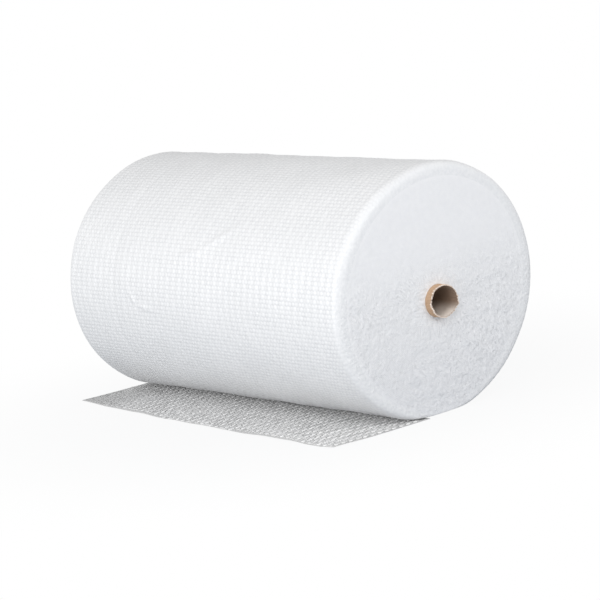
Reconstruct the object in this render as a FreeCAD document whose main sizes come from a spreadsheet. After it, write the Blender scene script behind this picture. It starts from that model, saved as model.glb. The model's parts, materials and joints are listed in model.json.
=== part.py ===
"""Bubble wrap roll: a soft roll of bubble film on a cardboard core, with its loose end on the floor.

Millimetres. X runs along the roll's axis, with the torn core end at +X. The loose end lies towards -Y,
Z is up, and the origin is on the floor, under the axis, at the middle of the web's width.
"""
import FreeCAD, Part
import math
import os

import Sketcher

DRIVING_SIZES = {
    "web_width": (1000, "width of the film, which is the length of the roll"),
    "roll_diameter": (550, "outside diameter of the wound film"),
    "film_thickness": (4, "thickness of the film with its bubbles"),
    "flat_width": (110, "width of the flat spot that the soft roll rests on"),
    "shoulder_radius": (20, "rounding of the film edges at each end of the roll"),
    "tail_reach": (300, "from the axis to the line between the corners of the loose end"),
    "tail_skew": (40, "how much further the corner on the torn core's side reaches, as the web lies askew"),
    "tail_bow": (10, "how far the middle of the loose end runs past its corners"),
    "row_pitch": (9.5, "spacing of the rows of bubbles"),
    "row_depth": (1.4, "depth of the valley between two rows"),
    "row_gap": (4, "width of the valley between two rows"),
    "row_margin": (6, "plain film between the ends of the rows and the shoulders"),
    "turn_count": (5, "turns of the line that the film edges draw on each end"),
    "turn_groove_width": (3, "width of that line"),
    "turn_groove_depth": (2, "depth of that line"),
    "core_bore": (65, "inside diameter of the cardboard core"),
    "core_wall": (3, "wall of the cardboard core"),
    "core_clearance": (0.2, "gap between the core and the innermost turn"),
    "core_drop": (26, "how far the core has sunk below the middle of the soft roll"),
    "core_reach_torn": (28, "how far the core stands out of the film at its torn end"),
    "core_reach_plain": (12, "how far the core stands out of the film at its plain end"),
    "tear_depth": (11, "depth of the deepest tear in the torn end"),
}

# share of the tear depth that is torn away at even steps round the torn end, from +Y towards +Z
TEAR_PROFILE = (0.2, 0.35, 0.3, 0.55, 0.65, 0.9, 0.8, 1.0, 0.85, 0.95, 0.65, 0.7, 0.4, 0.0)

# flat bands that stand for the rounding of each shoulder, from the end face to the drum
SHOULDER_BANDS = 3

# places that several sub-parts share, worked out from the driving sizes
LAYOUT = {
    "roll_radius": "sizes.roll_diameter / 2",
    "axis_height": "sqrt((sizes.roll_diameter / 2)^2 - (sizes.flat_width / 2)^2)",
    "core_height": "layout.axis_height - sizes.core_drop",
    "core_radius": "sizes.core_bore / 2 + sizes.core_wall",
    "hole_radius": "layout.core_radius + sizes.core_clearance",
    "web_end": "sizes.web_width / 2",
    "last_turn_radius": "layout.roll_radius - sizes.shoulder_radius",
    "nip_reach": "sqrt(layout.roll_radius^2 - (layout.axis_height - sizes.film_thickness)^2)",
    "flat_half_angle": "asin(sizes.flat_width / sizes.roll_diameter) / 1 deg",
    "nip_angle": "asin(layout.nip_reach / layout.roll_radius) / 1 deg",
    "row_angle": "sizes.row_pitch / layout.roll_radius * 180 / pi",
    "roll_rows": "floor((360 - layout.flat_half_angle - layout.nip_angle) / layout.row_angle) - 1",
    "tail_rows": "floor((sizes.tail_reach - layout.nip_reach - sizes.tail_skew / 2) / sizes.row_pitch) - 1",
    "tail_turn": "atan(sizes.tail_skew / sizes.web_width) / 1 deg",
    "tail_drift": "sizes.tail_reach * sizes.tail_skew / sizes.web_width",
}

X_AXIS = FreeCAD.Vector(1, 0, 0)
NORMAL = FreeCAD.Vector(0, 0, 1)

doc = FreeCAD.newDocument("bubble_wrap_roll")


def make_sheet():
    """Writes the driving sizes into a spreadsheet, one row each, with an alias."""
    sheet = doc.addObject("Spreadsheet::Sheet", "sizes")
    for row, (alias, (value, meaning)) in enumerate(DRIVING_SIZES.items(), start=1):
        sheet.set(f"A{row}", meaning)
        sheet.set(f"B{row}", str(value))
        sheet.setAlias(f"B{row}", alias)
    doc.recompute()
    return sheet


def make_layout():
    """Holds the shared places as values bound to the sheet."""
    layout = doc.addObject("App::VarSet", "layout")
    for name in LAYOUT:
        layout.addProperty("App::PropertyFloat", name)
    for name, formula in LAYOUT.items():
        layout.setExpression(name, formula)
    doc.recompute()
    return layout


def size_of(formula):
    """The value of a formula as it stands, for the first drawing of a sketch."""
    return float(layout.evalExpression(formula))


def new_sketch(body, name, role, offset=None):
    """Adds a sketch on one of the body's origin planes, with its offset and turn as formulas."""
    sketch = body.newObject("Sketcher::SketchObject", name)
    plane = next(item for item in body.Origin.OriginFeatures if item.Role == role)
    sketch.AttachmentSupport = [(plane, "")]
    sketch.MapMode = "FlatFace"
    for field, formula in (offset or {}).items():
        sketch.setExpression(f"AttachmentOffset.{field}", formula)
    doc.recompute()
    return sketch


def bind(sketch, formula, kind, *places):
    """Adds a dimension between places of a sketch and binds it to a formula."""
    index = sketch.addConstraint(Sketcher.Constraint(kind, *places, size_of(formula)))
    sketch.setExpression(f"Constraints[{index}]", formula)


def place_point(sketch, shape, point, across, up):
    """Ties a point of a sketch to its two coordinates, each a formula or None for zero."""
    if across is None:
        sketch.addConstraint(Sketcher.Constraint("PointOnObject", shape, point, -2))
    else:
        bind(sketch, across, "DistanceX", -1, 1, shape, point)
    if up is None:
        sketch.addConstraint(Sketcher.Constraint("PointOnObject", shape, point, -1))
    else:
        bind(sketch, up, "DistanceY", -1, 1, shape, point)


def add_circle(sketch, radius, height):
    """Draws a circle with its centre on the sketch's vertical axis."""
    centre = FreeCAD.Vector(0, size_of(height), 0)
    circle = sketch.addGeometry(Part.Circle(centre, NORMAL, size_of(radius)))
    place_point(sketch, circle, 3, None, height)
    bind(sketch, radius, "Radius", circle)


def add_path(sketch, corners):
    """Draws straight lines through corners that are (across, up) pairs of formulas, closed."""
    points = [FreeCAD.Vector(*(size_of(part or "0") for part in corner), 0) for corner in corners]
    lines = [
        sketch.addGeometry(Part.LineSegment(start, end))
        for start, end in zip(points, points[1:] + points[:1])
    ]
    for line, following in zip(lines, lines[1:] + lines[:1]):
        sketch.addConstraint(Sketcher.Constraint("Coincident", line, 2, following, 1))
    for line, corner in zip(lines, corners):
        place_point(sketch, line, 1, *corner)


def pocket(body, name, sketch, depth=None, both_ways=False, reverse=False):
    """Cuts a sketch out of the body, to a depth or right through."""
    cut = body.newObject("PartDesign::Pocket", name)
    cut.Profile = sketch
    cut.Midplane = both_ways
    cut.Reversed = reverse
    if depth is None:
        cut.Type = "ThroughAll"
    else:
        cut.setExpression("Length", depth)
    doc.recompute()
    return cut


def pad(body, name, sketch, length, both_ways=False):
    """Raises a sketch into a solid."""
    raised = body.newObject("PartDesign::Pad", name)
    raised.Profile = sketch
    raised.Midplane = both_ways
    raised.setExpression("Length", length)
    doc.recompute()
    return raised


def shoulder_corner(side, band):
    """A corner of the drum's profile where two bands of a shoulder meet, on the -X or +X side."""
    turn = 90 * band / SHOULDER_BANDS
    across = f"{side}(layout.web_end - sizes.shoulder_radius * (1 - cos({turn})))"
    up = f"layout.roll_radius - sizes.shoulder_radius * (1 - sin({turn}))"
    return across, up


def wind_roll(body):
    """The wound film: a drum with rounded film edges, a flat spot below and a hole for the core."""
    profile = new_sketch(body, "drum_profile", "XZ_Plane", {"Base.y": "layout.axis_height"})
    rise = [shoulder_corner("-", band) for band in range(SHOULDER_BANDS + 1)]
    fall = [shoulder_corner("", band) for band in reversed(range(SHOULDER_BANDS + 1))]
    add_path(profile, [("-layout.web_end", None), *rise, *fall, ("layout.web_end", None)])
    drum = body.newObject("PartDesign::Revolution", "drum")
    drum.Profile = profile
    drum.ReferenceAxis = (profile, ["H_Axis"])
    drum.Angle = 360
    doc.recompute()

    floor_outline = new_sketch(body, "floor_outline", "YZ_Plane")
    low = "-layout.roll_radius"
    add_path(
        floor_outline,
        [("-layout.roll_radius", None), ("-layout.roll_radius", low), ("layout.roll_radius", low),
         ("layout.roll_radius", None)],
    )
    pocket(body, "flat_spot", floor_outline, both_ways=True)

    hole_outline = new_sketch(body, "hole_outline", "YZ_Plane")
    add_circle(hole_outline, "layout.hole_radius", "layout.core_height")
    pocket(body, "core_hole", hole_outline, both_ways=True)


def turn_line(sketch):
    """Draws the spiral of the film edges: half circles that meet on the vertical axis and grow outwards.

    The half circles rise in front of the axis and come down behind it, so the last one ends below,
    where the film leaves the roll as the loose end.
    """
    half_turns = 2 * int(size_of("sizes.turn_count"))

    def crossing(step):
        """Where the spiral crosses the vertical axis after some half turns, below when step is even."""
        side = "+" if step % 2 else "-"
        first = f"(layout.core_height {side} layout.hole_radius {side} sizes.turn_groove_width)"
        last = f"(layout.axis_height {side} layout.last_turn_radius)"
        return f"({first} + ({last} - {first}) * {step} / {half_turns})"

    ends = []
    for extra in ("0", "sizes.turn_groove_width"):
        for step in range(half_turns):
            here, there = crossing(step), crossing(step + 1)
            sign = "-" if step % 2 else ""
            centre = f"({here} + {there}) / 2"
            radius = f"{sign}({there} - {here}) / 2 + {extra}"
            middle = FreeCAD.Vector(0, size_of(centre), 0)
            circle = Part.Circle(middle, NORMAL, size_of(radius))
            start = -math.pi / 2 if step % 2 else math.pi / 2
            arc = sketch.addGeometry(Part.ArcOfCircle(circle, start, start + math.pi))
            place_point(sketch, arc, 3, None, centre)
            bind(sketch, radius, "Radius", arc)
            for point in (1, 2):
                sketch.addConstraint(Sketcher.Constraint("PointOnObject", arc, point, -2))
            if step in (0, half_turns - 1):
                ends.append((arc, 2 if step == 0 else 1))
    inner_start, inner_end, outer_start, outer_end = ends
    for near, far in ((inner_start, outer_start), (inner_end, outer_end)):
        points = [sketch.getPoint(*end) for end in (near, far)]
        line = sketch.addGeometry(Part.LineSegment(*points))
        sketch.addConstraint(Sketcher.Constraint("Coincident", line, 1, *near))
        sketch.addConstraint(Sketcher.Constraint("Coincident", line, 2, *far))


def mark_turns(body):
    """Cuts the spiral of the film edges into both ends of the roll."""
    for name, place, reverse in (("torn_side", "layout.web_end", False), ("plain_side", "-layout.web_end", True)):
        sketch = new_sketch(body, f"turns_{name}", "YZ_Plane", {"Base.z": place})
        turn_line(sketch)
        pocket(body, f"turn_groove_{name}", sketch, "sizes.turn_groove_depth", reverse=reverse)


def emboss_roll(body):
    """Cuts the valleys between the rows of bubbles round the roll, clear of the floor and the loose end."""
    first_angle = "layout.flat_half_angle + layout.row_angle - 90"
    valley = new_sketch(
        body, "roll_valley", "YZ_Plane", {"Base.y": "layout.axis_height", "Rotation.Angle": first_angle}
    )
    add_path(
        valley,
        [("layout.roll_radius - sizes.row_depth", None),
         ("layout.roll_radius + sizes.row_depth", "sizes.row_gap"),
         ("layout.roll_radius + sizes.row_depth", "-sizes.row_gap")],
    )
    length = "sizes.web_width - 2 * (sizes.shoulder_radius + sizes.row_margin)"
    first = pocket(body, "first_valley", valley, length, both_ways=True)
    rows = body.newObject("PartDesign::PolarPattern", "roll_rows")
    rows.Originals = [first]
    rows.Axis = (valley, ["N_Axis"])
    rows.setExpression("Angle", "(layout.roll_rows - 1) * layout.row_angle")
    rows.setExpression("Occurrences", "layout.roll_rows")
    body.Tip = rows
    doc.recompute()


def lay_tail(body):
    """The loose end: the outermost turn, which runs out on the floor in front of the roll."""
    outline = new_sketch(body, "tail_outline", "XY_Plane")
    half_flat = "sizes.flat_width / 2"
    plain_corner = ("-layout.web_end - layout.tail_drift", "sizes.tail_skew / 2 - sizes.tail_reach")
    torn_corner = ("layout.web_end - layout.tail_drift", "-sizes.tail_skew / 2 - sizes.tail_reach")
    corners = [
        plain_corner,
        ("-layout.web_end", f"-{half_flat}"),
        ("sizes.shoulder_radius - layout.web_end", f"{half_flat}"),
        ("layout.web_end - sizes.shoulder_radius", f"{half_flat}"),
        ("layout.web_end", f"-{half_flat}"),
        torn_corner,
    ]
    points = [FreeCAD.Vector(*(size_of(part) for part in corner), 0) for corner in corners]
    lines = [outline.addGeometry(Part.LineSegment(*pair)) for pair in zip(points, points[1:])]
    bow = FreeCAD.Vector(-size_of("layout.tail_drift"), -size_of("sizes.tail_reach + sizes.tail_bow"), 0)
    front = outline.addGeometry(Part.Arc(points[0], bow, points[-1]))
    for line, following in zip(lines, lines[1:]):
        outline.addConstraint(Sketcher.Constraint("Coincident", line, 2, following, 1))
    for line, corner in zip(lines, corners):
        place_point(outline, line, 1, *corner)
    place_point(outline, lines[-1], 2, *corners[-1])
    outline.addConstraint(Sketcher.Constraint("Coincident", front, 1, lines[0], 1))
    outline.addConstraint(Sketcher.Constraint("Coincident", front, 2, lines[-1], 2))
    half_chord = "sqrt(layout.web_end^2 + (sizes.tail_skew / 2)^2)"
    bind(outline, f"({half_chord}^2 + sizes.tail_bow^2) / (2 * sizes.tail_bow)", "Radius", front)
    pad(body, "tail", outline, "sizes.film_thickness")


def emboss_tail(body):
    """Cuts the valleys between the rows of bubbles into the top of the loose end."""
    valley = new_sketch(
        body, "tail_valley", "YZ_Plane",
        {"Base.x": "sizes.row_pitch - sizes.tail_reach", "Base.y": "sizes.film_thickness"},
    )
    valley.AttachmentOffset = FreeCAD.Placement(FreeCAD.Vector(), FreeCAD.Rotation(FreeCAD.Vector(0, 1, 0), 1))
    valley.setExpression("AttachmentOffset.Rotation.Angle", "-layout.tail_turn")
    add_path(
        valley,
        [(None, "-sizes.row_depth"), ("sizes.row_gap", "sizes.row_depth"), ("-sizes.row_gap", "sizes.row_depth")],
    )
    first = pocket(body, "first_tail_valley", valley, "sizes.web_width + 2 * sizes.tail_reach", both_ways=True)
    rows = body.newObject("PartDesign::LinearPattern", "tail_rows")
    rows.Originals = [first]
    rows.Direction = (valley, ["H_Axis"])
    rows.setExpression("Length", "(layout.tail_rows - 1) * sizes.row_pitch")
    rows.setExpression("Occurrences", "layout.tail_rows")
    body.Tip = rows
    doc.recompute()


def make_bubble_wrap():
    """The film: every turn of the roll and its loose end are one web."""
    body = doc.addObject("PartDesign::Body", "bubble_wrap")
    body.Label = "bubble_wrap"
    wind_roll(body)
    lay_tail(body)
    emboss_tail(body)
    mark_turns(body)
    emboss_roll(body)
    return body


def tear_tool(sheet):
    """A solid that stands over the torn end of the core, with the ragged line as its lower edge."""
    reach = sheet.web_width / 2 + sheet.core_reach_torn
    outer = layout.core_radius + sheet.core_wall
    top = reach + sheet.tear_depth
    steps = len(TEAR_PROFILE)
    turns = [2 * math.pi * step / steps for step in range(steps)]
    ring = [FreeCAD.Vector(0, outer * math.cos(turn), outer * math.sin(turn)) for turn in turns]
    ragged = [spoke + X_AXIS * (reach - sheet.tear_depth * torn) for spoke, torn in zip(ring, TEAR_PROFILE)]
    level = [spoke + X_AXIS * top for spoke in ring]
    hub_low = X_AXIS * (reach - sheet.tear_depth * sum(TEAR_PROFILE) / steps)
    hub_top = X_AXIS * top
    faces = []
    for here in range(steps):
        there = (here + 1) % steps
        for corners in (
            (hub_low, ragged[here], ragged[there]),
            (hub_top, level[there], level[here]),
            (ragged[here], level[here], level[there]),
            (ragged[here], level[there], ragged[there]),
        ):
            faces.append(Part.Face(Part.makePolygon([*corners, corners[0]])))
    solid = Part.Solid(Part.Shell(faces))
    return solid if solid.Volume > 0 else solid.reversed()


def make_core(sheet):
    """The cardboard core: a tube through the roll, torn off raggedly at one end."""
    tube_length = "sizes.web_width + sizes.core_reach_plain + sizes.core_reach_torn"
    cylinders = []
    for name, radius in (("core_outside", "layout.core_radius"), ("core_inside", "sizes.core_bore / 2")):
        cylinder = doc.addObject("Part::Cylinder", name)
        cylinder.Placement = FreeCAD.Placement(FreeCAD.Vector(), FreeCAD.Rotation(NORMAL, X_AXIS))
        cylinder.setExpression("Radius", radius)
        cylinder.setExpression("Height", tube_length)
        cylinder.setExpression("Placement.Base.x", "-layout.web_end - sizes.core_reach_plain")
        cylinder.setExpression("Placement.Base.z", "layout.core_height")
        cylinders.append(cylinder)
    tube = doc.addObject("Part::Cut", "core_tube")
    tube.Base, tube.Tool = cylinders
    tear = doc.addObject("Part::Feature", "core_tear")
    tear.Shape = tear_tool(sheet)
    tear.setExpression("Placement.Base.z", "layout.core_height")
    core = doc.addObject("Part::Cut", "cardboard_core")
    core.Label = "cardboard_core"
    core.Base = tube
    core.Tool = tear
    doc.recompute()
    return core


def check_document(pieces):
    """Stops the script if any object failed or any piece isn't one valid solid."""
    for item in doc.Objects:
        if {"Invalid", "Error"} & set(item.State):
            raise RuntimeError(f"{item.Label} failed: {item.State}")
    for piece in pieces:
        shape = piece.Shape
        if shape.isNull() or not shape.isValid() or len(shape.Solids) != 1:
            raise RuntimeError(f"{piece.Label} isn't one valid solid")


def export(pieces):
    """Writes each piece to its own STEP file, named for its label."""
    os.makedirs("parts", exist_ok=True)
    for piece in pieces:
        piece.Shape.exportStep(f"parts/{piece.Label}.step")
        print(piece.Label, "volume", round(piece.Shape.Volume), "mm3, box", piece.Shape.BoundBox)


sheet = make_sheet()
layout = make_layout()
pieces = [make_bubble_wrap(), make_core(sheet)]
doc.recompute()
check_document(pieces)
export(pieces)
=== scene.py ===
"""Looks of a bubble wrap roll: a soft roll of bubble film on a torn cardboard core.

Metres. X runs along the roll's axis with the torn core end at +X, the loose end lies towards -Y and
Z is up. Every size comes from the frame or from the named values of the classes below.
"""

import json
import logging
import math
from abc import ABC, abstractmethod
from collections.abc import Callable
from dataclasses import dataclass
from enum import Enum
from functools import partial

import bmesh
import bpy
import numpy as np
from bpy.types import ID, Material, Node, NodeOutputs, NodeSocket, NodeTree, Object
from mathutils import Matrix, Vector

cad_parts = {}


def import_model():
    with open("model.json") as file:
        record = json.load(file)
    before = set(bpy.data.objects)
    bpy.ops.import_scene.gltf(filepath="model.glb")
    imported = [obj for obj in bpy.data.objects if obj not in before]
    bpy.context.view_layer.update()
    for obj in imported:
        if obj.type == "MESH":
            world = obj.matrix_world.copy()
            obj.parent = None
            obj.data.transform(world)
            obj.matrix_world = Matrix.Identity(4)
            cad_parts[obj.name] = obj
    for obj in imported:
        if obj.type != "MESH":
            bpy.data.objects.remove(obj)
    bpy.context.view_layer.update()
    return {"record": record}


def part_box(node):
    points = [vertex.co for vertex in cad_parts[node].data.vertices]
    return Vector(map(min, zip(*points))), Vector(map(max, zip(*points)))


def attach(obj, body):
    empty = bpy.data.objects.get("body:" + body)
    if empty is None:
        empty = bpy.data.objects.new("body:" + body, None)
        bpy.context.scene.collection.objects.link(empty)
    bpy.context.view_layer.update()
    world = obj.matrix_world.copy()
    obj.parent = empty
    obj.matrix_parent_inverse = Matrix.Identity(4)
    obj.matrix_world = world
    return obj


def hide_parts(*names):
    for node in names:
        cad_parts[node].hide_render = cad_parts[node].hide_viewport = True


MM = 0.001
BODY = "root"
FILM_NODE = "bubble_wrap"
CORE_NODE = "cardboard_core"
MERGE_GAP = 0.01 * MM
CORE_CLEARANCE = 0.2 * MM

# a share of a limit that keeps a length just inside it
NEARLY = 0.99

# types of the nodes that the trees use most, some with their data type or operation after a space
ATTRIBUTE = "ShaderNodeAttribute"
BUMP = "ShaderNodeBump"
LENGTH = "ShaderNodeVectorMath LENGTH"
MAP_RANGE = "ShaderNodeMapRange"
MIX = "ShaderNodeMix RGBA"
NAMED_ATTRIBUTE = "GeometryNodeInputNamedAttribute"
NOISE = "ShaderNodeTexNoise"
RANDOM = "FunctionNodeRandomValue FLOAT"
ADD, DIVIDE, MAXIMUM, MODULO, MULTIPLY, MULTIPLY_ADD, ROUND, SUBTRACT = (
    f"ShaderNodeMath {name}" for name in (
        "ADD", "DIVIDE", "MAXIMUM", "FLOORED_MODULO", "MULTIPLY", "MULTIPLY_ADD", "ROUND", "SUBTRACT",
    )
)

# what an input of a node takes, and add_node for one tree
Value = float | NodeSocket | Node
Adder = Callable[..., Node]
Array = np.ndarray

log = logging.getLogger("bubble_wrap_roll")


class Side(Enum):
    """The two ends of the roll, by the direction in which they face along X."""

    TORN = 1
    PLAIN = -1


def srgb(code: str) -> tuple[float, float, float, float]:
    """Turns an sRGB colour into linear light.

    Args:
        code: six hex digits.

    Returns:
        Linear red, green, blue and an alpha of 1.
    """
    parts = [int(code[place:place + 2], 16) / 255 for place in (0, 2, 4)]
    linear = [part / 12.92 if part <= 0.04045 else ((part + 0.055) / 1.055) ** 2.4 for part in parts]
    return (*linear, 1.0)


def set_inputs(tree: NodeTree, node: Node, inputs: dict | tuple) -> None:
    """Sets or links the inputs of a node.

    Args:
        tree: the node's tree.
        node: the node.
        inputs: what each socket takes, by its name or number, or else in their order: a value, the
            six hex digits of a colour, an output socket, or a node, for its first output in use.
    """
    for name, value in inputs.items() if isinstance(inputs, dict) else enumerate(inputs):
        socket = node.inputs[name]
        if isinstance(value, Node):
            value = next(output for output in value.outputs if output.enabled)
        if isinstance(value, NodeSocket):
            tree.links.new(value, socket)
        else:
            socket.default_value = srgb(value) if socket.type == "RGBA" else value


def add_node(tree: NodeTree, kind: str, inputs: dict | tuple = (), **settings: object) -> Node:
    """Adds a node with its settings and links.

    Args:
        tree: the node tree that gets the node.
        kind: the node's type name, and its operation or data type after a space if it needs one.
        inputs: what set_inputs takes.
        settings: properties of the node itself.

    Returns:
        The new node.
    """
    kind, _, choice = kind.partition(" ")
    node = tree.nodes.new(kind)
    if choice:
        settings["operation" if hasattr(node, "operation") else "data_type"] = choice
    for name, value in settings.items():
        setattr(node, name, value)
    set_inputs(tree, node, inputs)
    return node


def geometry_tree(name: str, inputs: dict[str, str]) -> tuple[NodeTree, Adder, NodeOutputs]:
    """Starts a geometry node tree.

    Args:
        name: the tree's name.
        inputs: name of each input past the geometry, to the kind of its socket.

    Returns:
        The tree, what adds a node to it, and its inputs.
    """
    tree = bpy.data.node_groups.new(name, "GeometryNodeTree")
    tree.interface.new_socket("Geometry", in_out="OUTPUT", socket_type="NodeSocketGeometry")
    for title, kind in {"Geometry": "Geometry", **inputs}.items():
        tree.interface.new_socket(title, in_out="INPUT", socket_type=f"NodeSocket{kind}")
    add = partial(add_node, tree)
    return tree, add, add("NodeGroupInput").outputs


def end_tree(tree: NodeTree, geometry: Value, film: Value) -> NodeTree:
    """Ends a geometry node tree, with its instances made real and dressed.

    Args:
        tree: the tree.
        geometry: the node that gives the finished shape.
        film: the input that holds the material.

    Returns:
        The same tree.
    """
    whole = add_node(tree, "GeometryNodeRealizeInstances", (geometry,))
    dressed = add_node(tree, "GeometryNodeSetMaterial", {"Geometry": whole, "Material": film})
    add_node(tree, "NodeGroupOutput", (dressed,))
    return tree


def smooth_step(low: float, high: float, value: Array) -> Array:
    """A smooth rise from 0 at low to 1 at high."""
    share = np.clip((value - low) / (high - low), 0.0, 1.0)
    return share * share * (3.0 - 2.0 * share)


def noise(points: Array, wavelength: float, seed: int, waves: int = 24) -> Array:
    """Smooth, repeatable unevenness, as a sum of sine waves in random directions.

    Args:
        points: one row for each place, of any number of coordinates.
        wavelength: typical length of a wave, in the points' units.
        seed: picks the waves.
        waves: how many waves are added.

    Returns:
        One value for each point, of about -1 to 1.
    """
    draw = np.random.default_rng(seed)
    total = np.zeros(points.shape[:-1])
    for _ in range(waves):
        direction = draw.normal(size=points.shape[-1])
        direction /= np.linalg.norm(direction)
        rate = 2 * math.pi / (wavelength * draw.uniform(0.6, 1.6))
        total += np.sin(points @ direction * rate + draw.uniform(0, 2 * math.pi))
    return total / math.sqrt(waves)


def new_object(name: str, data: ID) -> Object:
    """Makes an object of a mesh, a light or a camera, and links it to the scene."""
    made = bpy.data.objects.new(name, data)
    bpy.context.scene.collection.objects.link(made)
    return made


def new_mesh(name: str, points: list, faces: list) -> Object:
    """Makes an object of a smooth mesh, and links it to the scene."""
    mesh = bpy.data.meshes.new(name)
    mesh.from_pydata(points, [], faces)
    mesh.shade_smooth()
    return new_object(name, mesh)


def grid_mesh(name: str, points: Array, outward: Array, layers: dict | None = None) -> Object:
    """Makes a smooth mesh of a grid of points.

    Args:
        name: the object's name.
        points: rows by columns by 3.
        outward: one direction that the first face has to look along.
        layers: attribute name to its values, rows by columns, or rows by columns by 3.

    Returns:
        The object, linked to the scene.
    """
    rows, columns = points.shape[:2]
    index = np.arange(rows * columns).reshape(rows, columns)
    corners = [index[:-1, :-1], index[1:, :-1], index[1:, 1:], index[:-1, 1:]]
    across = points[0, 1] - points[0, 0]
    along = points[1, 0] - points[0, 0]
    if np.dot(np.cross(along, across), outward) < 0:
        corners.reverse()
    faces = np.stack(corners, axis=-1).reshape(-1, 4)
    piece = new_mesh(name, points.reshape(-1, 3).tolist(), faces.tolist())
    for layer, values in (layers or {}).items():
        kind, key = ("FLOAT_VECTOR", "vector") if values.ndim == 3 else ("FLOAT", "value")
        attribute = piece.data.attributes.new(layer, kind, "POINT")
        attribute.data.foreach_set(key, values.astype(np.float32).ravel())
    return piece


def merge_close(piece: Object, distance: float) -> None:
    """Merges the vertices of a piece that lie close together.

    Args:
        piece: the object.
        distance: how close they lie.
    """
    shape = bmesh.new()
    shape.from_mesh(piece.data)
    bmesh.ops.remove_doubles(shape, verts=shape.verts, dist=distance)
    bmesh.ops.dissolve_degenerate(shape, edges=shape.edges, dist=distance)
    shape.to_mesh(piece.data)
    shape.free()
    piece.data.shade_smooth()


def grow(piece: Object, tree: NodeTree, values: dict) -> None:
    """Runs a geometry node tree on a piece and keeps the result as its plain mesh.

    Args:
        piece: the object that the tree works on.
        tree: a geometry node group with named inputs.
        values: input name to value.
    """
    modifier = piece.modifiers.new(tree.name, "NODES")
    modifier.node_group = tree
    for item in tree.interface.items_tree:
        if getattr(item, "in_out", "") == "INPUT" and item.name in values:
            modifier[item.identifier] = values[item.name]
    graph = bpy.context.evaluated_depsgraph_get()
    piece.data = bpy.data.meshes.new_from_object(
        piece.evaluated_get(graph), preserve_all_data_layers=True, depsgraph=graph
    )
    piece.modifiers.remove(modifier)


def fit_piece(piece: Object, node: str) -> None:
    """Lets a piece stand for a solid of the frame, and reports it.

    Args:
        piece: the object.
        node: the solid's name.
    """
    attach(piece, BODY)
    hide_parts(node)
    piece.data.calc_loop_triangles()
    log.info("%s: %d triangles", piece.name, len(piece.data.loop_triangles))


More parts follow.
